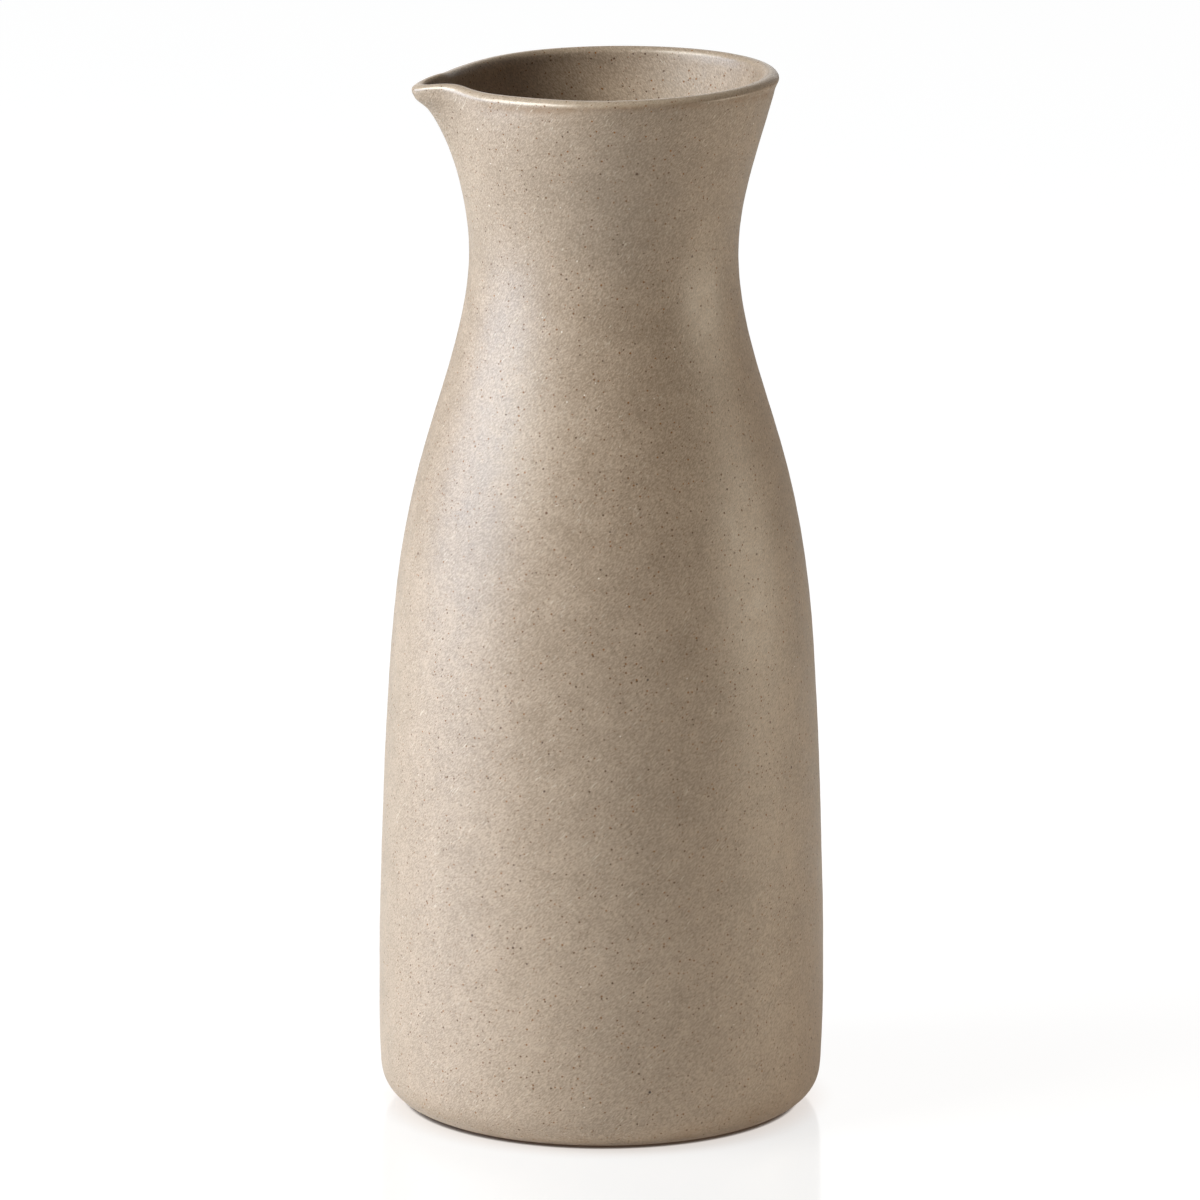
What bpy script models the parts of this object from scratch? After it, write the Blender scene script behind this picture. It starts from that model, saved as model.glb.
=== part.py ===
"""Water carafe: one hollow stoneware vessel with a drawn-in neck and a spout pulled from its rim.

Metres, +Z up. The origin is on the table under the middle of the foot, and the spout points to -X.
The vessel is turned from an outline first, and the soft rim is then pulled into the spout, as a
potter makes one.
"""

import math

import bmesh
import bpy

# Outside diameters of the turned wall, from the foot up
HEEL_DIAMETER = 0.1040
BELLY_DIAMETER = 0.1049
FLANK_DIAMETER = 0.0998
SHOULDER_DIAMETER = 0.0846
THROAT_DIAMETER = 0.0626
MOUTH_DIAMETER = 0.0788

# Height of each of those places over the one below it, the heel's being its round corner
HEEL_RISE = 0.0085
BELLY_RISE = 0.0175
FLANK_RISE = 0.0790
SHOULDER_RISE = 0.0500
THROAT_RISE = 0.0486
MOUTH_RISE = 0.0396

# Lean of the wall there: how much the radius grows with the height
FLANK_LEAN = -0.057
SHOULDER_LEAN = -0.270
MOUTH_LEAN = 0.200

# Thickness of the clay, and the round corner between the floor and the wall inside
WALL = 0.0042
LIP = 0.0034
LIP_TAPER = 0.0300
FLOOR = 0.0060
FLOOR_ROUND = 0.0140

# Foot: how far the heel draws in to it, the ring that it stands on and the shallow hollow in the ring
HEEL_TUCK = 0.0095
FOOT_RING_WIDTH = 0.0045
FOOT_HOLLOW = 0.0015

# Spout: how far the rim is pulled out, how far its sides rise and its tip dips, and over what angle
SPOUT_REACH = 0.0059
SPOUT_SPREAD = math.radians(7.8)
SPOUT_LIFT = 0.0022
SPOUT_DIP = 0.0022
LIFT_SPREAD = math.radians(14)

# Two pinches beside the spout, the oval that the pull leaves and the tilt of the rim towards it
PINCH_DEPTH = 0.0027
PINCH_BEARING = math.radians(40)
PINCH_SPREAD = math.radians(30)
RIM_OVAL = 0.00085
RIM_TILT = 0.0007

# Depth below the rim at which the pull has faded to about a third
PULL_FADE = 0.0078

# Fineness of the mesh
COLUMNS = 76
COLUMN_CROWDING = 0.5
WALL_ROWS = (1, 3, 5, 5, 8)
HEEL_ROWS = 5
LIP_ROWS = 6
FLOOR_ROUND_ROWS = 4
MERGE_DISTANCE = 0.000001
SHARP_ANGLE = math.radians(35)

GLAZE_COLOUR = (0.39, 0.30, 0.21, 1.0)
GLAZE_ROUGHNESS = 0.35


def soft_step(share):
    """0 up to a share of 0, 1 from a share of 1 on, with a soft start and end between."""
    share = min(max(share, 0.0), 1.0)
    return share * share * (3 - 2 * share)


def bump(angle, spread):
    """A bell curve, 1 high, that has faded to about a third at the spread."""
    return math.exp(-((angle / spread) ** 2))


def arc(centre, reach, rise, start, end, steps):
    """Points (radius, height) on a round or oval arc, both ends included."""
    points = []
    for step in range(steps + 1):
        angle = start + (end - start) * step / steps
        points.append((centre[0] + reach * math.cos(angle), centre[1] + rise * math.sin(angle)))
    return points


def wall_places():
    """Height, radius and lean of the outer wall at the six places that shape it."""
    places = []
    height = 0.0
    for rise, diameter, lean in (
        (HEEL_RISE, HEEL_DIAMETER, 0.0),
        (BELLY_RISE, BELLY_DIAMETER, 0.0),
        (FLANK_RISE, FLANK_DIAMETER, FLANK_LEAN),
        (SHOULDER_RISE, SHOULDER_DIAMETER, SHOULDER_LEAN),
        (THROAT_RISE, THROAT_DIAMETER, 0.0),
        (MOUTH_RISE, MOUTH_DIAMETER, MOUTH_LEAN),
    ):
        height += rise
        places.append((height, diameter / 2, lean))
    return places


def between(low, high, share):
    """Height, radius and lean at a share of the way on the smooth curve between two places."""
    span = high[0] - low[0]
    lean_low = low[2] * span
    lean_high = high[2] * span
    growth = high[1] - low[1]
    bend = 3 * growth - 2 * lean_low - lean_high
    twist = lean_low + lean_high - 2 * growth
    radius = low[1] + share * (lean_low + share * (bend + share * twist))
    lean = (lean_low + share * (2 * bend + share * 3 * twist)) / span
    return low[0] + share * span, radius, lean


def outer_wall():
    """Height, radius and lean of the outer wall, row by row, from the heel to the lip."""
    places = wall_places()
    rows = []
    for low, high, count in zip(places, places[1:], WALL_ROWS):
        rows += [between(low, high, row / count) for row in range(count)]
    return rows + [places[-1]]


def outline():
    """The turned shape as points (radius, height): under the foot, up the outside, over the lip and
    down the inside to the middle of the floor."""
    wall = outer_wall()
    rim_height, rim_radius, rim_lean = wall[-1]
    ring_outside = HEEL_DIAMETER / 2 - HEEL_TUCK
    ring_inside = ring_outside - FOOT_RING_WIDTH
    floor_height = FOOT_HOLLOW + FLOOR

    points = [(0.0, FOOT_HOLLOW), (ring_inside - FOOT_HOLLOW, FOOT_HOLLOW), (ring_inside, 0.0)]
    points += arc((ring_outside, HEEL_RISE), HEEL_TUCK, HEEL_RISE, -math.pi / 2, 0.0, HEEL_ROWS)
    points += [(radius, height) for height, radius, lean in wall[1:-1]]

    # The lip is half a circle that carries on from the leaning wall
    tip = math.atan(rim_lean)
    lip_centre = (rim_radius - LIP / 2 * math.cos(tip), rim_height + LIP / 2 * math.sin(tip))
    points += arc(lip_centre, LIP / 2, LIP / 2, -tip, math.pi - tip, LIP_ROWS)

    inside = []
    for height, radius, lean in wall[:-1]:
        thickness = WALL + (LIP - WALL) * soft_step(1 - (rim_height - height) / LIP_TAPER)
        inside.append((radius - thickness * math.hypot(1, lean), height))
    corner_height = floor_height + FLOOR_ROUND
    upper = [point for point in inside if point[1] > corner_height]
    points += reversed(upper)
    corner_centre = (upper[0][0] - FLOOR_ROUND, corner_height)
    points += arc(corner_centre, FLOOR_ROUND, FLOOR_ROUND, 0.0, -math.pi / 2, FLOOR_ROUND_ROWS)
    points.append((0.0, floor_height))
    return points


def turn(mesh, points):
    """Turns the outline once round the Z axis."""
    rows = [mesh.verts.new((radius, 0.0, height)) for radius, height in points]
    edges = [mesh.edges.new(pair) for pair in zip(rows, rows[1:])]
    bmesh.ops.spin(
        mesh, geom=rows + edges, axis=(0, 0, 1), angle=2 * math.pi, steps=COLUMNS, use_merge=True
    )
    bmesh.ops.remove_doubles(mesh, verts=mesh.verts, dist=MERGE_DISTANCE)


def pull_spout(mesh):
    """Pulls the rim out into the spout. The pull is whole at the rim and fades down the neck."""
    rim_height = wall_places()[-1][0]
    for vertex in mesh.verts:
        radius = math.hypot(vertex.co.x, vertex.co.y)
        even = math.atan2(vertex.co.y, -vertex.co.x)
        bearing = even - COLUMN_CROWDING * math.sin(even)
        pull = min(1.0, math.exp((vertex.co.z - rim_height) / PULL_FADE))
        reach = SPOUT_REACH * bump(bearing, SPOUT_SPREAD) + RIM_OVAL * math.cos(2 * bearing)
        reach -= PINCH_DEPTH * bump(abs(bearing) - PINCH_BEARING, PINCH_SPREAD)
        lift = SPOUT_LIFT * bump(bearing, LIFT_SPREAD) - SPOUT_DIP * bump(bearing, SPOUT_SPREAD)
        lift -= RIM_TILT * math.cos(bearing)
        if radius > MERGE_DISTANCE:
            radius += pull * reach
        vertex.co.x = -radius * math.cos(bearing)
        vertex.co.y = radius * math.sin(bearing)
        vertex.co.z += pull * lift


def glaze():
    """Warm grey-brown glaze, satin to the touch."""
    material = bpy.data.materials.new("speckled_glaze")
    material.use_nodes = True
    shader = material.node_tree.nodes["Principled BSDF"]
    shader.inputs["Base Color"].default_value = GLAZE_COLOUR
    shader.inputs["Roughness"].default_value = GLAZE_ROUGHNESS
    shader.inputs["Metallic"].default_value = 0.0
    return material


def carafe_body():
    """The whole vessel, in one piece of clay."""
    mesh = bmesh.new()
    turn(mesh, outline())
    pull_spout(mesh)
    bmesh.ops.recalc_face_normals(mesh, faces=mesh.faces)
    data = bpy.data.meshes.new("carafe_body")
    mesh.to_mesh(data)
    mesh.free()
    data.materials.append(glaze())
    data.shade_smooth()
    data.set_sharp_from_angle(angle=SHARP_ANGLE)
    body = bpy.data.objects.new("carafe_body", data)
    bpy.context.scene.collection.objects.link(body)


def main():
    for old in list(bpy.data.objects):
        bpy.data.objects.remove(old)
    carafe_body()


main()
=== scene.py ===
"""Looks of the water carafe: its hand-made shape in fine detail, its speckled glaze, and a white studio.

Metres, +Z up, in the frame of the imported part. The spout points to -X.
"""

import math

import bpy
import numpy as np
from mathutils import Matrix, Vector, noise

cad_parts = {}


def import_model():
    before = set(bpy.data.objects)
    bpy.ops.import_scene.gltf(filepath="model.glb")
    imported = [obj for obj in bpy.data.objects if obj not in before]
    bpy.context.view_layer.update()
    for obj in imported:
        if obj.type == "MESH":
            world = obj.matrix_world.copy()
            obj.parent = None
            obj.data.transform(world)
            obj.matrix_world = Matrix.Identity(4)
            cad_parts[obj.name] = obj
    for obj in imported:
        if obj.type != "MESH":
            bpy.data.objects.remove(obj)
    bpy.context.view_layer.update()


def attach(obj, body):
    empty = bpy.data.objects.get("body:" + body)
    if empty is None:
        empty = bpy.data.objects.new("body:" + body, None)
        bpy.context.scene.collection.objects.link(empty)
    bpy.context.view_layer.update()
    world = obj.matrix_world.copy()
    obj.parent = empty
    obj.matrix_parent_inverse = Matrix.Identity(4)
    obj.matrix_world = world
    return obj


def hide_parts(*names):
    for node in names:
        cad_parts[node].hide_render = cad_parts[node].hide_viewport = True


# Turned outline, at the part's diameters and heights: outside diameter, rise over the place below and lean
WALL_PLACES = (
    (0.1040, 0.0085, 0.045),
    (0.1049, 0.0175, 0.0),
    (0.0998, 0.0790, -0.057),
    (0.0846, 0.0500, -0.270),
    (0.0626, 0.0486, 0.0),
    (0.0788, 0.0396, 0.200),
)

# Thickness of the clay, and the round corner between the floor and the wall inside
WALL = 0.0042
LIP = 0.0034
LIP_TAPER = 0.0300
FLOOR = 0.0060
FLOOR_ROUND = 0.0140

# Foot: how far the heel draws in to it, its ring, the hollow in the ring and the soft edge of that hollow
HEEL_TUCK = 0.0095
FOOT_RING_WIDTH = 0.0045
FOOT_HOLLOW = 0.0015
FOOT_EDGE = 0.0004
FOOT_EDGE_SAG = 0.3

# Narrow gap where the heel lifts from the table: its height, its depth, and how it curves in
FOOT_GAP = 0.0004
FOOT_STEP = 0.0005
FOOT_STEP_BEND = (1 / 3, 0.2)
HEEL_SOFTENING = 8

# Pulled spout and rim, with the sizes of the part
SPOUT_REACH = 0.0059
SPOUT_SPREAD = math.radians(7.8)
SPOUT_LIFT = 0.0022
SPOUT_DIP = 0.0022
LIFT_SPREAD = math.radians(14)
PINCH_DEPTH = 0.0027
PINCH_BEARING = math.radians(40)
PINCH_SPREAD = math.radians(30)
RIM_OVAL = 0.00085
RIM_TILT = 0.0007
PULL_FADE = 0.0078

# Clay that rounds the spout's tip, a drop under it and a brow over it: how far each stands out, and where.
# The pull is shorter by the trim, which makes up for them.
TIP_TRIM = 0.0004
TIP_DROP = 0.0010
TIP_DROP_DEPTH = 0.0016
TIP_DROP_SPREAD = 1.3 * SPOUT_SPREAD
TIP_BROW = 0.00055
TIP_BROW_RISE = 0.0011
TIP_BROW_REACH = 0.0008

# Bead of the lip: how far it stands out, its middle over the wall's end, its reach and where it sets in
BEAD_HEIGHT = 0.00030
BEAD_RISE = 0.0005
BEAD_REACH = 0.0013
BEAD_START = math.radians(15)
BEAD_WHOLE = math.radians(36)

# Groove under the bead: its depth, its reach, its place below the wall's end and how far that wanders
GROOVE_DEPTH = 0.00008
GROOVE_REACH = 0.0009
GROOVE_PLACE = 0.0007
GROOVE_SWAY = 0.0012

# Marks of the hand: slow dents in the wall, faint turning rings that sway with them, and where they start
DENT_HEIGHT = 0.00015
DENT_SIZE = 0.034
RING_HEIGHT = 0.000012
RING_STEP = 0.0068
RING_SWAY = 0.6
RING_SWAY_OFFSET = Vector((7.0, 3.0, 5.0))
MARKS_START = 0.0017
MARKS_RISE = 0.0085

# Places where the glaze differs: gloss and painted light of the lip and its share inside, brown of the heel
# that is partly thin glaze and partly painted shade, bare foot
CREST_START = -0.0004
CREST_REACH = 0.0008
CREST_INSIDE = 0.35
HEEL_BROWN_HEIGHT = 0.011
BARE_HEIGHT = 0.0012

# Fineness of the mesh
COLUMNS = 240
COLUMN_CROWDING = 0.4
ROW_STEP = 0.0016
ROW_CROWDING = 1.8
UNDER_ROWS = 20
RING_ROWS = 4
HEEL_ROWS = 16
LIP_ROWS = 24
FLOOR_ROUND_ROWS = 16
FLOOR_ROWS = 20

# Tone of the glaze: size of the slow clouds and of the patches, shares of these and of the grain, contrast
CLOUD_SIZE = 0.030
PATCH_SIZE = 0.0065
TONE_SHARES = (0.12, 0.18, 0.70)
TONE_RANGE = (0.325, 0.675)
GLAZE_BROWN = (0.266, 0.193, 0.133, 1)
GLAZE_PALE = (0.503, 0.381, 0.285, 1)

# The tone is paler low down and darker up high: height, and shift of tone at both ends
CARAFE_HEIGHT = 0.246
TONE_BY_HEIGHT = 0.027

# Brush marks wind up the wall: turn per metre of height, size of the grain, width and length of the strokes
BRUSH_TWIST = 18.0
GRAIN_SIZE = 0.00036
GRAIN_STRETCH = 1.5
STROKE_WIDTH = 0.00038
STROKE_LENGTH = 0.0018
STROKE_RANGE = (0.65, 0.73)
STROKE_FIELD = 0.006
STROKE_FIELD_RANGE = (0.45, 0.62)
STROKE_COVER = 0.65
STROKE_COLOUR = (0.66, 0.56, 0.45, 1)

# Brown at the groove of the lip and low on the heel, partly thin glaze and partly painted shade in the
# groove and under the heel, broken up by the patches
BROWN_AT_GROOVE = 0.65
BROWN_AT_HEEL = 0.40
BROWN_PATCHES = (0.40, 0.62)
BROWN_LEAST = 0.25
THIN_GLAZE_AND_SHADE_BROWN = (0.24, 0.135, 0.062, 1)

# Painted light on the crest of the lip: a paler colour where its top catches the light
CREST_LIGHT_COVER = 0.30
PAINTED_CREST_LIGHT = (0.60, 0.49, 0.38, 1)

# Scattered spots: spacing, smallest and largest radius, share of the places that are taken, and soft edge
SPECKS = (0.00122, 0.00010, 0.00028, 0.90, 0.00008)
PEPPER = (0.00095, 0.00008, 0.00017, 0.85, 0.00006)
IRON_SPOTS = (0.0075, 0.00026, 0.00042, 0.60, 0.00012)
# Glints are painted highlights: tiny pale dots in the colour
PAINTED_GLINTS = (0.0042, 0.00012, 0.00022, 0.55, 0.00008)
PIMPLES = (0.0030, 0.00014, 0.00030, 0.6, 0.00026)

# How much of the glaze each kind of spot covers, and its colour or the two colours that it lies between
SPECK_COVER = 0.97
SPECK_COLOURS = ((0.25, 0.088, 0.004, 1), (0.070, 0.025, 0.002, 1))
PEPPER_COVER = 0.85
PEPPER_COLOUR = (0.150, 0.060, 0.008, 1)
IRON_COVER = 0.94
IRON_COLOURS = ((0.110, 0.034, 0.006, 1), (0.024, 0.010, 0.004, 1))
PAINTED_GLINT_COVER = 0.85
PAINTED_GLINT_COLOUR = (0.88, 0.82, 0.74, 1)

# Bare clay
CLAY_GRAIN = 0.0012
CLAY_COLOURS = ((0.30, 0.20, 0.125, 1), (0.46, 0.34, 0.235, 1))

# Roughness of the satin glaze over its patches, what places change in it, and that of bare clay
GLOSS_PATCHES = (0.3, 0.7)
ROUGHNESS = (0.40, 0.48)
CREST_POLISH = 0.17
INSIDE_DULLNESS = 0.15
SPECK_DULLNESS = 0.12
BARE_ROUGHNESS = 0.85
GLAZE_IOR = 1.65

# Relief in millimetres, and the share of it that is left on the crest of the lip
MILLIMETRE = 0.001
SKIN_SIZE = 0.0024
GRAIN_RELIEF = 0.030
SKIN_RELIEF = 0.042
SPECK_PITS = 0.040
STROKE_RELIEF = 0.025
PIMPLE_RELIEF = 0.14
CREST_RELIEF = 0.25

# Camera: bearing from straight in front towards the spout, distance from the axis, height and aim
CAMERA_BEARING = math.radians(15)
CAMERA_DISTANCE = 2.2171
CAMERA_HEIGHT = 0.6245
AIM_HEIGHT = 0.1202
AIM_SIDE = -0.0006
CAMERA_ROLL = 0.003
SENSOR_WIDTH = 36.0
LENS = 291.1

WHITE = (1, 1, 1, 1)

# Floor: its size, how far it lies under the foot, and how much it mirrors, from the foot out to nothing
FLOOR_SIZE = 16.0
FLOOR_DROP = 0.00002
POLISH = 0.19
POLISH_FADE = (0.15, 0.32)
POLISH_ROUGHNESS = 0.12

# Its paint and glow, first as they light the carafe and then as they look
FLOOR_PAINT = ((0.71, 0.70, 0.67, 1), (0.14, 0.14, 0.14, 1))
FLOOR_GLOW = (0.25, 0.965)
FLOOR_GLOW_COLOUR = (1.0, 0.975, 0.92, 1)

# Shade on the floor: how far it reaches from the gap at the foot and from the heel, and its colour
GAP_REACH = 0.0012
GAP_RANGE = (0.30, 0.80)
GAP_SHADE_COLOUR = (0.020, 0.008, 0.003, 1)
SHADE_REACH = 0.007
SHADE_COLOUR = (0.86, 0.80, 0.76, 1)
SHADE_SAMPLES = 8

# Share of the white surroundings that the glaze mirrors, except straight behind, where it is whole
MIRRORED_WHITE = 0.30
MIRRORED_COLOUR = (1.0, 0.965, 0.93, 1)
BEHIND = (0.90, 0.96)
BEHIND_ELEVATION = math.radians(14)

# Soft lamps: bearing from the camera and elevation in degrees, distance, width, height, power and colour
LAMPS = {
    "key": (-86, 12, 1.5, 1.3, 1.0, 15.2, (0.76, 1.0, 1.36)),
    "top": (-68, 40, 1.5, 0.8, 0.8, 25.5, (1.00, 1.0, 0.92)),
    "right": (88, 2, 1.6, 0.9, 0.3, 7.0, (1.13, 1.0, 0.79)),
}


def soft_step(share):
    """0 up to a share of 0, 1 from a share of 1 on, with a soft start and end between."""
    share = np.clip(share, 0.0, 1.0)
    return share * share * (3 - 2 * share)


def bump(angle, spread):
    """A bell curve, 1 high, that has faded to about a third at the spread."""
    return np.exp(-((angle / spread) ** 2))


def arc(centre, reach, rise, start, end, steps):
    """Points (radius, height) on a round or oval arc, both ends included."""
    angles = np.linspace(start, end, steps + 1)
    return np.stack([centre[0] + reach * np.cos(angles), centre[1] + rise * np.sin(angles)], -1)


def wall_curve():
    """Height, radius and lean of the outer wall in fine rows, from the heel to the lip."""
    places = []
    height = 0.0
    for diameter, rise, lean in WALL_PLACES:
        height += rise
        places.append((height, diameter / 2, lean))
    rows = []
    for low, high in zip(places, places[1:]):
        span = high[0] - low[0]
        share = np.linspace(0, 1, math.ceil(span / ROW_STEP), endpoint=False)
        if high is places[-1]:
            share = 1 - (1 - share) ** ROW_CROWDING
        lean_low = low[2] * span
        lean_high = high[2] * span
        growth = high[1] - low[1]
        bend = 3 * growth - 2 * lean_low - lean_high
        twist = lean_low + lean_high - 2 * growth
        radius = low[1] + share * (lean_low + share * (bend + share * twist))
        lean = (lean_low + share * (2 * bend + share * 3 * twist)) / span
        rows.append(np.stack([low[0] + share * span, radius, lean], -1))
    rows.append(np.array([places[-1]]))
    return np.concatenate(rows)


def foot_outline(ring_outside):
    """Points from under the middle out to the step where the heel lifts from the table."""
    ring_inside = ring_outside - FOOT_RING_WIDTH
    slope_end = (ring_inside - FOOT_HOLLOW, FOOT_HOLLOW)
    under = np.linspace((0.0, FOOT_HOLLOW), slope_end, UNDER_ROWS)[1:]
    edge = np.array([(ring_inside, FOOT_EDGE * FOOT_EDGE_SAG)])
    ring = np.linspace((ring_inside + FOOT_EDGE, 0.0), (ring_outside, 0.0), RING_ROWS)
    bend = (ring_outside + FOOT_STEP * FOOT_STEP_BEND[0], FOOT_GAP * FOOT_STEP_BEND[1])
    step = np.array([bend, (ring_outside + FOOT_STEP, FOOT_GAP)])
    return np.concatenate([under, edge, ring, step])


def outside_outline(wall, ring_outside):
    """Points from the gap at the foot, round the heel and up to just under the lip."""
    heel_rise, heel_lean = WALL_PLACES[0][1:]
    heel_end = -math.atan(heel_lean * heel_rise / HEEL_TUCK)
    heel_rise = heel_rise / (1 + math.sin(heel_end))
    heel_start = math.asin(FOOT_GAP / heel_rise - 1)
    heel = arc((ring_outside, heel_rise), HEEL_TUCK, heel_rise, heel_start, heel_end, HEEL_ROWS)
    outside = np.concatenate([heel, wall[1:-1, 1::-1]])

    # The heel runs into the wall without a corner
    soft = slice(1, HEEL_ROWS + math.ceil(WALL_PLACES[1][1] / ROW_STEP))
    for turn in range(HEEL_SOFTENING):
        middle = (outside[:-2] + 2 * outside[1:-1] + outside[2:]) / 4
        outside[soft] = middle[soft.start - 1:soft.stop - 1]
    return outside


def lip_outline(wall):
    """Half a circle that carries on from the leaning wall."""
    rim_height, rim_radius, rim_lean = wall[-1]
    tip = math.atan(rim_lean)
    centre = (rim_radius - LIP / 2 * math.cos(tip), rim_height + LIP / 2 * math.sin(tip))
    return arc(centre, LIP / 2, LIP / 2, -tip, math.pi - tip, LIP_ROWS)


def inside_outline(wall):
    """Points from the lip down the inside, round the corner and along the floor, nearly to its middle."""
    rim_height = wall[-1, 0]
    height, radius, lean = wall[:-1].T
    floor_height = FOOT_HOLLOW + FLOOR
    corner_height = floor_height + FLOOR_ROUND
    thickness = WALL + (LIP - WALL) * soft_step(1 - (rim_height - height) / LIP_TAPER)
    inside = np.stack([radius - thickness * np.hypot(1, lean), height], -1)
    inside = inside[inside[:, 1] > corner_height][::-1]
    corner_centre = (inside[-1, 0] - FLOOR_ROUND, corner_height)
    corner = arc(corner_centre, FLOOR_ROUND, FLOOR_ROUND, 0.0, -math.pi / 2, FLOOR_ROUND_ROWS)
    floor = np.linspace(corner[-1], (0.0, floor_height), FLOOR_ROWS)[1:-1]
    return np.concatenate([inside, corner, floor])


def outline():
    """Points (radius, height) from under the foot, up the outside, over the lip and down the inside."""
    wall = wall_curve()
    ring_outside = WALL_PLACES[0][0] / 2 - HEEL_TUCK
    foot = foot_outline(ring_outside)
    outside = outside_outline(wall, ring_outside)
    return np.concatenate([foot, outside, lip_outline(wall), inside_outline(wall)])


def hand_marks(points, outward):
    """How far each point stands out from the turned shape, in metres: slow dents and turning rings."""
    out = np.empty(len(points))
    for place, point in enumerate(points):
        spot = Vector(point)
        dent = noise.fractal(spot / DENT_SIZE, 1.0, 2.0, 2)
        sway = noise.noise(spot / DENT_SIZE + RING_SWAY_OFFSET)
        ring = math.sin(2 * math.pi * (spot.z / RING_STEP + RING_SWAY * sway))
        out[place] = DENT_HEIGHT * dent + RING_HEIGHT * ring
    return out * outward


def shaped_points(rows):
    """The outline turned round the axis, with bead and groove, pulled into the spout and marked by hand.

    Gives the points row by row, and the weights that tell the glaze where it is.
    """
    rim_height = sum(rise for diameter, rise, lean in WALL_PLACES)
    row_number = np.arange(len(rows))[:, None]
    even = np.linspace(-math.pi, math.pi, COLUMNS, endpoint=False)
    bearing = even - COLUMN_CROWDING * np.sin(even)
    radius, angle = np.meshgrid(rows[:, 0], bearing, indexing="ij")
    height = np.repeat(rows[:, 1:], COLUMNS, axis=1)
    is_outside = row_number <= int(np.argmax(rows[:, 1]))
    below_rim = rim_height - height

    # Bead: away from the spout the lip swells a little, over a groove that wanders up and down
    away = soft_step((np.abs(angle) - BEAD_START) / (BEAD_WHOLE - BEAD_START))
    below_groove = below_rim - GROOVE_PLACE - GROOVE_SWAY * np.cos(2 * angle)
    swell = BEAD_HEIGHT * bump(below_rim + BEAD_RISE, BEAD_REACH)
    swell = swell - GROOVE_DEPTH * bump(below_groove, GROOVE_REACH)
    radius = radius + np.where(is_outside, swell * away, 0.0)

    # Round tip of the spout
    drop = TIP_DROP * bump(angle, TIP_DROP_SPREAD) * bump(below_rim - TIP_DROP_DEPTH, TIP_DROP_DEPTH)
    brow = TIP_BROW * bump(angle, TIP_DROP_SPREAD) * bump(below_rim + TIP_BROW_RISE, TIP_BROW_REACH)
    radius = radius + (drop + brow) * is_outside

    # The pull is whole at the rim and fades down the neck
    pull = np.minimum(1.0, np.exp(-below_rim / PULL_FADE))
    reach = (SPOUT_REACH - TIP_TRIM) * bump(angle, SPOUT_SPREAD) + RIM_OVAL * np.cos(2 * angle)
    reach = reach - PINCH_DEPTH * bump(np.abs(angle) - PINCH_BEARING, PINCH_SPREAD)
    lift = SPOUT_LIFT * bump(angle, LIFT_SPREAD) - SPOUT_DIP * bump(angle, SPOUT_SPREAD)
    lift = lift - RIM_TILT * np.cos(angle)
    radius = radius + pull * reach
    height = height + pull * lift

    points = np.stack([-radius * np.cos(angle), radius * np.sin(angle), height], -1).reshape(-1, 3)
    outward = np.stack([-np.cos(angle), np.sin(angle), 0 * angle], -1).reshape(-1, 3)
    side = np.where(np.broadcast_to(is_outside, height.shape), 1.0, -1.0)
    free = soft_step((height - MARKS_START) / MARKS_RISE)
    points = points + outward * hand_marks(points, (side * free).reshape(-1))[:, None]

    crest = soft_step((CREST_START - below_rim) / CREST_REACH)
    bare = soft_step(1 - height / BARE_HEIGHT) * is_outside
    weights = {
        "lip": bump(below_groove, GROOVE_REACH) * away * is_outside,
        "crest": crest * np.where(is_outside, 1.0, CREST_INSIDE * away),
        "inside": soft_step(below_rim / BEAD_REACH) * ~is_outside,
        "heel": soft_step(1 - height / HEEL_BROWN_HEIGHT) * is_outside,
        "bare": np.maximum(bare, row_number < UNDER_ROWS),
    }
    return points, {name: weight.reshape(-1) for name, weight in weights.items()}


def grid_faces(row_count):
    """Four-sided faces between the rows, and a fan at each end round a point that comes after the rows."""
    faces = []
    for row in range(row_count - 1):
        low = row * COLUMNS
        high = low + COLUMNS
        for column in range(COLUMNS):
            after = (column + 1) % COLUMNS
            faces.append((low + column, high + column, high + after, low + after))
    last = (row_count - 1) * COLUMNS
    under_middle = row_count * COLUMNS
    floor_middle = under_middle + 1
    for column in range(COLUMNS):
        after = (column + 1) % COLUMNS
        faces.append((under_middle, column, after))
        faces.append((floor_middle, last + after, last + column))
    return faces


def carafe_mesh():
    """The vessel as one closed, fine mesh, with weights that tell the glaze which part is where."""
    rows = outline()
    points, weights = shaped_points(rows)
    points = np.concatenate([points, [(0, 0, FOOT_HOLLOW), (0, 0, FOOT_HOLLOW + FLOOR)]])
    data = bpy.data.meshes.new("carafe")
    data.from_pydata(points.tolist(), [], grid_faces(len(rows)))
    data.validate()
    for name, weight in weights.items():
        under_middle = 1.0 if name == "bare" else 0.0
        values = np.concatenate([weight, [under_middle, 0.0]]).astype(np.float32)
        data.attributes.new(name, "FLOAT", "POINT").data.foreach_set("value", values)
    data.shade_smooth()
    return data


def add_node(tree, kind, inputs=None, **settings):
    """A new node with its settings, and its inputs set to values or linked to other nodes' outputs."""
    made = tree.nodes.new(kind)
    for name, value in settings.items():
        setattr(made, name, value)
    for name, value in (inputs or {}).items():
        if isinstance(value, bpy.types.NodeSocket):
            tree.links.new(value, made.inputs[name])
        else:
            made.inputs[name].default_value = value
    return made


def maths(tree, operation, first, second=0.0, clamp=False):
    """The output of a Math node."""
    made = add_node(tree, "ShaderNodeMath", {0: first, 1: second}, operation=operation, use_clamp=clamp)
    return made.outputs[0]


def plus(tree, value, mask, amount):
    """A value, and a mask's share of an amount on top of it."""
    return maths(tree, "ADD", value, maths(tree, "MULTIPLY", mask, amount))


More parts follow.
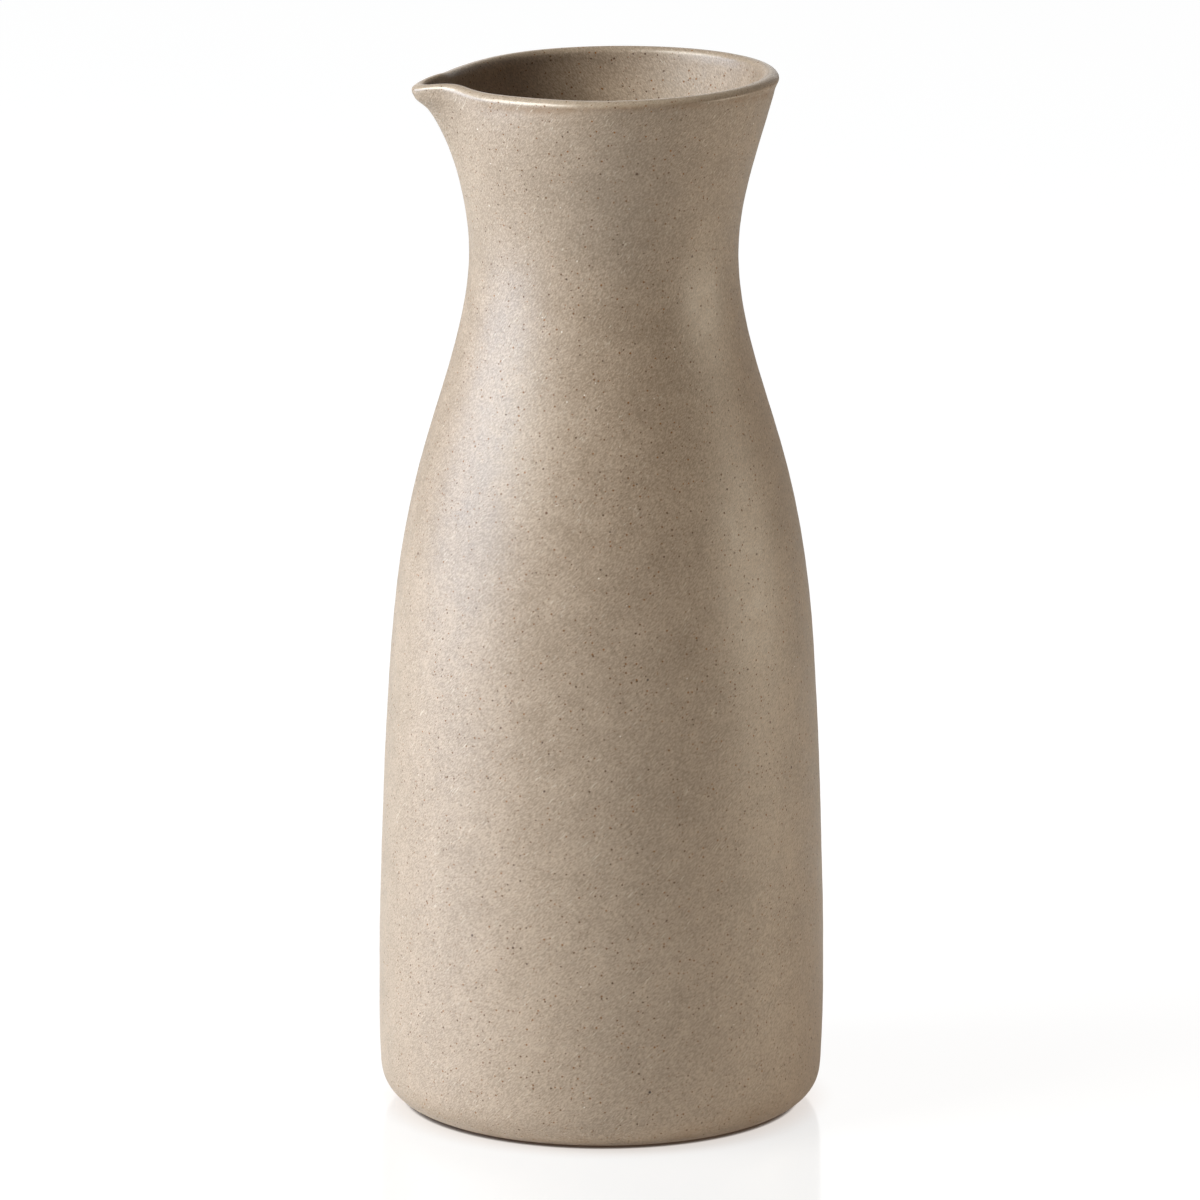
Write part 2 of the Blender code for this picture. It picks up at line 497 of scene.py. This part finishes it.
def minus(tree, value, mask, amount):
    """A value, less a mask's share of an amount."""
    return maths(tree, "SUBTRACT", value, maths(tree, "MULTIPLY", mask, amount))


def blend(tree, share, first, second):
    """The output of a Mix node for colours."""
    inputs = {0: share, 6: first, 7: second}
    return add_node(tree, "ShaderNodeMix", inputs, data_type="RGBA", blend_type="MIX").outputs[2]


def cover(tree, colour, mask, amount, top):
    """A colour, covered by another where the mask is."""
    return blend(tree, maths(tree, "MULTIPLY", mask, amount), colour, top)


def cloud(tree, place, size, detail=2.0, roughness=0.5, distortion=0.0):
    """Noise with soft blobs of about this size in metres, from 0 to 1."""
    inputs = {"Vector": place, "Scale": 1 / size, "Detail": detail, "Roughness": roughness}
    inputs["Distortion"] = distortion
    return add_node(tree, "ShaderNodeTexNoise", inputs).outputs["Fac"]


def spread(tree, value, bounds, to_low=0.0, to_high=1.0):
    """A value mapped softly from between these bounds to another range."""
    inputs = {"Value": value, "From Min": bounds[0], "From Max": bounds[1]}
    inputs.update({"To Min": to_low, "To Max": to_high})
    made = add_node(tree, "ShaderNodeMapRange", inputs, interpolation_type="SMOOTHSTEP")
    return made.outputs["Result"]


def scaled(tree, place, level, upright):
    """Places measured in units of these lengths: one for both level ways, one for the upright way."""
    inputs = {0: place, 1: (1 / level, 1 / level, 1 / upright)}
    return add_node(tree, "ShaderNodeVectorMath", inputs, operation="MULTIPLY").outputs[0]


def spots(tree, place, spacing, smallest, largest, share, softness):
    """Round spots scattered through the clay, 1 inside and 0 outside, and a random tone for each."""
    cells = add_node(tree, "ShaderNodeTexVoronoi", {"Vector": place, "Scale": 1 / spacing})
    draw = add_node(tree, "ShaderNodeSeparateColor", {"Color": cells.outputs["Color"]})
    radius = spread(tree, draw.outputs["Red"], (0.0, 1.0), smallest / spacing, largest / spacing)
    inside = maths(tree, "SUBTRACT", radius, cells.outputs["Distance"])
    mask = maths(tree, "MULTIPLY", inside, spacing / softness, clamp=True)
    drawn = maths(tree, "LESS_THAN", draw.outputs["Green"], share)
    return maths(tree, "MULTIPLY", mask, drawn), draw.outputs["Blue"]


def glaze_marks(tree, place):
    """What colour, gloss and relief of the glaze share: its places, patches, specks, grain and strokes."""
    marks = {}
    for name in ("lip", "crest", "inside", "heel", "bare"):
        marks[name] = add_node(tree, "ShaderNodeAttribute", attribute_name=name).outputs["Fac"]
    marks["height"] = add_node(tree, "ShaderNodeSeparateXYZ", {"Vector": place}).outputs["Z"]
    marks["patches"] = cloud(tree, place, PATCH_SIZE, 4.0, 0.6, 0.4)
    marks["specks"], marks["speck_tone"] = spots(tree, place, *SPECKS)

    # The brush went round while the wheel turned, so grain and strokes wind up the wall one way
    turn = maths(tree, "MULTIPLY", marks["height"], -BRUSH_TWIST)
    twist = {"Vector": place, "Angle": turn}
    unwound = add_node(tree, "ShaderNodeVectorRotate", twist, rotation_type="Z_AXIS").outputs[0]
    grain_place = scaled(tree, unwound, GRAIN_SIZE, GRAIN_STRETCH * GRAIN_SIZE)
    marks["grain"] = cloud(tree, grain_place, 1.0, 2.0, 0.6)
    stroke_place = scaled(tree, unwound, STROKE_WIDTH, STROKE_LENGTH)
    strokes = spread(tree, cloud(tree, stroke_place, 1.0, 1.0), STROKE_RANGE)
    field = spread(tree, cloud(tree, place, STROKE_FIELD, 1.0), STROKE_FIELD_RANGE)
    marks["strokes"] = maths(tree, "MULTIPLY", strokes, field)
    return marks


def glaze_colour(tree, place, marks):
    """Brown to pale by clouds, patches, grain and height, then brown places that are partly painted shade,
    a crest with painted light, spots, painted glints, strokes, bare clay.
    """
    tone = maths(tree, "MULTIPLY", cloud(tree, place, CLOUD_SIZE, 3.0), TONE_SHARES[0])
    tone = plus(tree, tone, marks["patches"], TONE_SHARES[1])
    tone = plus(tree, tone, marks["grain"], TONE_SHARES[2])
    tone = maths(tree, "ADD", tone, spread(tree, marks["height"], (0.0, CARAFE_HEIGHT), TONE_BY_HEIGHT, -TONE_BY_HEIGHT))
    colour = blend(tree, spread(tree, tone, TONE_RANGE), GLAZE_BROWN, GLAZE_PALE)

    # Brown at the groove and the heel, partly thin glaze over the clay and partly painted shade, and a
    # paler crest that is painted light
    at_lip = maths(tree, "MULTIPLY", marks["lip"], BROWN_AT_GROOVE)
    at_heel = maths(tree, "MULTIPLY", marks["heel"], BROWN_AT_HEEL)
    brown_places = maths(tree, "MAXIMUM", at_lip, at_heel)
    broken = spread(tree, marks["patches"], BROWN_PATCHES, BROWN_LEAST, 1.0)
    colour = blend(tree, maths(tree, "MULTIPLY", brown_places, broken), colour, THIN_GLAZE_AND_SHADE_BROWN)
    # Painted light: the crest of the lip is made paler where its top catches the light
    colour = cover(tree, colour, marks["crest"], CREST_LIGHT_COVER, PAINTED_CREST_LIGHT)

    # Brown pin-prick specks, finer pepper and rarer dark iron spots
    speck_colour = blend(tree, marks["speck_tone"], *SPECK_COLOURS)
    colour = cover(tree, colour, marks["specks"], SPECK_COVER, speck_colour)
    pepper = spots(tree, place, *PEPPER)[0]
    colour = cover(tree, colour, pepper, PEPPER_COVER, PEPPER_COLOUR)
    iron, iron_tone = spots(tree, place, *IRON_SPOTS)
    colour = cover(tree, colour, iron, IRON_COVER, blend(tree, iron_tone, *IRON_COLOURS))

    # Pale strokes here and there, and tiny painted glints: pale dots that stand in for highlights
    colour = cover(tree, colour, marks["strokes"], STROKE_COVER, STROKE_COLOUR)
    glints = spots(tree, place, *PAINTED_GLINTS)[0]
    colour = cover(tree, colour, glints, PAINTED_GLINT_COVER, PAINTED_GLINT_COLOUR)

    clay = blend(tree, cloud(tree, place, CLAY_GRAIN, 4.0, 0.7), *CLAY_COLOURS)
    return blend(tree, marks["bare"], colour, clay)


def glaze_roughness(tree, marks):
    """Satin, shinier on the crest of the lip, duller inside and on the specks, dry on the bare clay."""
    roughness = spread(tree, marks["patches"], GLOSS_PATCHES, *ROUGHNESS)
    roughness = minus(tree, roughness, marks["crest"], CREST_POLISH)
    roughness = plus(tree, roughness, marks["inside"], INSIDE_DULLNESS)
    roughness = plus(tree, roughness, marks["specks"], SPECK_DULLNESS)
    return maths(tree, "MAXIMUM", roughness, maths(tree, "MULTIPLY", marks["bare"], BARE_ROUGHNESS))


def glaze_relief(tree, place, marks):
    """Fine grain, a dimpled skin, pits at the specks, raised strokes and pimples, weak on the crest."""
    pimples = spots(tree, place, *PIMPLES)[0]
    relief = maths(tree, "MULTIPLY", marks["grain"], GRAIN_RELIEF)
    relief = plus(tree, relief, cloud(tree, place, SKIN_SIZE, 2.0), SKIN_RELIEF)
    relief = minus(tree, relief, marks["specks"], SPECK_PITS)
    relief = plus(tree, relief, marks["strokes"], STROKE_RELIEF)
    relief = plus(tree, relief, pimples, PIMPLE_RELIEF)
    left = spread(tree, marks["crest"], (0.0, 1.0), 1.0, CREST_RELIEF)
    inputs = {"Height": maths(tree, "MULTIPLY", relief, left), "Distance": MILLIMETRE, "Strength": 1.0}
    return add_node(tree, "ShaderNodeBump", inputs).outputs["Normal"]


def glaze():
    """Speckled satin glaze over iron-bearing clay, brown at the lip's groove and the heel with partly
    painted shade there, bare at the foot.
    """
    material = bpy.data.materials.new("speckled_glaze")
    material.use_nodes = True
    tree = material.node_tree
    shader = tree.nodes["Principled BSDF"]
    place = add_node(tree, "ShaderNodeTexCoord").outputs["Object"]
    marks = glaze_marks(tree, place)
    tree.links.new(glaze_colour(tree, place, marks), shader.inputs["Base Color"])
    tree.links.new(glaze_roughness(tree, marks), shader.inputs["Roughness"])
    tree.links.new(glaze_relief(tree, place, marks), shader.inputs["Normal"])
    shader.inputs["IOR"].default_value = GLAZE_IOR
    return material


def white_floor():
    """To the eye nearly all glow, and to the carafe a white floor that gives back the light on it."""
    material = bpy.data.materials.new("white_floor")
    material.use_nodes = True
    tree = material.node_tree
    tree.nodes.remove(tree.nodes["Principled BSDF"])
    seen = add_node(tree, "ShaderNodeLightPath").outputs["Is Camera Ray"]
    paint = blend(tree, seen, *FLOOR_PAINT)
    matt = add_node(tree, "ShaderNodeBsdfDiffuse", {"Color": paint}).outputs[0]

    # Painted shade in the glow: dark brown in the gap at the foot, and a little warm shade close by
    settings = {"samples": SHADE_SAMPLES}
    gap = add_node(tree, "ShaderNodeAmbientOcclusion", {"Distance": GAP_REACH}, **settings).outputs["AO"]
    near = add_node(tree, "ShaderNodeAmbientOcclusion", {"Distance": SHADE_REACH}, **settings).outputs["AO"]
    shade = blend(tree, spread(tree, near, (0.0, 1.0)), SHADE_COLOUR, WHITE)
    tint = blend(tree, spread(tree, gap, GAP_RANGE), GAP_SHADE_COLOUR, shade)
    tint = blend(tree, seen, FLOOR_GLOW_COLOUR, tint)
    strength = maths(tree, "MAXIMUM", maths(tree, "MULTIPLY", seen, FLOOR_GLOW[1]), FLOOR_GLOW[0])
    glow = add_node(tree, "ShaderNodeEmission", {"Color": tint, "Strength": strength}).outputs[0]
    pale = add_node(tree, "ShaderNodeAddShader", {0: matt, 1: glow}).outputs[0]

    # A faint reflection near the foot
    inputs = {"Color": WHITE, "Roughness": POLISH_ROUGHNESS}
    mirror = add_node(tree, "ShaderNodeBsdfGlossy", inputs).outputs[0]
    place = add_node(tree, "ShaderNodeTexCoord").outputs["Object"]
    distance = add_node(tree, "ShaderNodeVectorMath", {0: place}, operation="LENGTH").outputs["Value"]
    polish = spread(tree, distance, POLISH_FADE, POLISH, 0.0)
    mixed = add_node(tree, "ShaderNodeMixShader", {0: polish, 1: pale, 2: mirror}).outputs[0]
    tree.links.new(mixed, tree.nodes["Material Output"].inputs["Surface"])
    return material


def studio_floor():
    """A wide, plain floor just under the foot."""
    corners = []
    for across, along in ((-1, -1), (1, -1), (1, 1), (-1, 1)):
        corners.append((across * FLOOR_SIZE / 2, along * FLOOR_SIZE / 2, -FLOOR_DROP))
    data = bpy.data.meshes.new("studio_floor")
    data.from_pydata(corners, [], [(0, 1, 2, 3)])
    data.materials.append(white_floor())
    floor = bpy.data.objects.new("studio_floor", data)
    bpy.context.scene.collection.objects.link(floor)


def round_axis(bearing, elevation, distance):
    """A place at this bearing from the camera's side of the axis, positive to the camera's right."""
    turn = -CAMERA_BEARING + bearing
    level = distance * math.cos(elevation)
    return Vector((level * math.sin(turn), -level * math.cos(turn), distance * math.sin(elevation)))


def studio_world():
    """Surroundings that are white to the eye, a little warm in the gloss, and give no other light."""
    world = bpy.data.worlds.new("studio")
    world.use_nodes = True
    tree = world.node_tree
    background = tree.nodes["Background"]
    path = add_node(tree, "ShaderNodeLightPath").outputs
    way = add_node(tree, "ShaderNodeTexCoord").outputs["Generated"]
    inputs = {0: way, 1: round_axis(math.pi, BEHIND_ELEVATION, 1.0)}
    behind = add_node(tree, "ShaderNodeVectorMath", inputs, operation="DOT_PRODUCT").outputs["Value"]
    mirrored = spread(tree, behind, BEHIND, MIRRORED_WHITE, 1.0)
    strength = maths(tree, "MULTIPLY", path["Is Glossy Ray"], mirrored)
    strength = maths(tree, "MAXIMUM", strength, path["Is Camera Ray"])
    strength = maths(tree, "MAXIMUM", strength, path["Is Transmission Ray"])
    tree.links.new(strength, background.inputs["Strength"])
    colour = blend(tree, path["Is Glossy Ray"], WHITE, MIRRORED_COLOUR)
    tree.links.new(colour, background.inputs["Color"])
    bpy.context.scene.world = world


def softbox(name, bearing, elevation, distance, width, height, power, colour):
    """A rectangular lamp that faces the middle of the carafe."""
    lamp = bpy.data.lights.new(name, "AREA")
    lamp.shape = "RECTANGLE"
    lamp.size = width
    lamp.size_y = height
    lamp.energy = power
    lamp.color = colour
    box = bpy.data.objects.new(name, lamp)
    middle = Vector((0, 0, AIM_HEIGHT))
    box.location = middle + round_axis(math.radians(bearing), math.radians(elevation), distance)
    box.rotation_mode = "QUATERNION"
    box.rotation_quaternion = (middle - box.location).to_track_quat("-Z", "Y")
    box.visible_camera = False
    bpy.context.scene.collection.objects.link(box)


def camera():
    """The photograph's view: a long lens a little above the rim."""
    data = bpy.data.cameras.new("camera")
    data.sensor_width = SENSOR_WIDTH
    data.lens = LENS
    eye = bpy.data.objects.new("camera", data)
    bpy.context.scene.collection.objects.link(eye)
    place = round_axis(0.0, 0.0, CAMERA_DISTANCE) + Vector((0, 0, CAMERA_HEIGHT))
    across = Vector((math.cos(CAMERA_BEARING), -math.sin(CAMERA_BEARING), 0))
    ahead = (across * AIM_SIDE + Vector((0, 0, AIM_HEIGHT)) - place).normalized()
    right = ahead.cross(Vector((0, 0, 1))).normalized()
    above = right.cross(ahead)
    turned_right = right * math.cos(CAMERA_ROLL) + above * math.sin(CAMERA_ROLL)
    turned_above = above * math.cos(CAMERA_ROLL) - right * math.sin(CAMERA_ROLL)
    pose = Matrix((turned_right, turned_above, -ahead)).transposed().to_4x4()
    pose.translation = place
    eye.matrix_world = pose
    bpy.context.scene.camera = eye


def main():
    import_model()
    bpy.context.scene.view_settings.view_transform = "Standard"

    carafe = bpy.data.objects.new("carafe", carafe_mesh())
    bpy.context.scene.collection.objects.link(carafe)
    carafe.data.materials.append(glaze())
    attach(carafe, "root")
    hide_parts("carafe_body")

    studio_floor()
    studio_world()
    for name, lamp in LAMPS.items():
        softbox(name, *lamp)
    camera()


main()
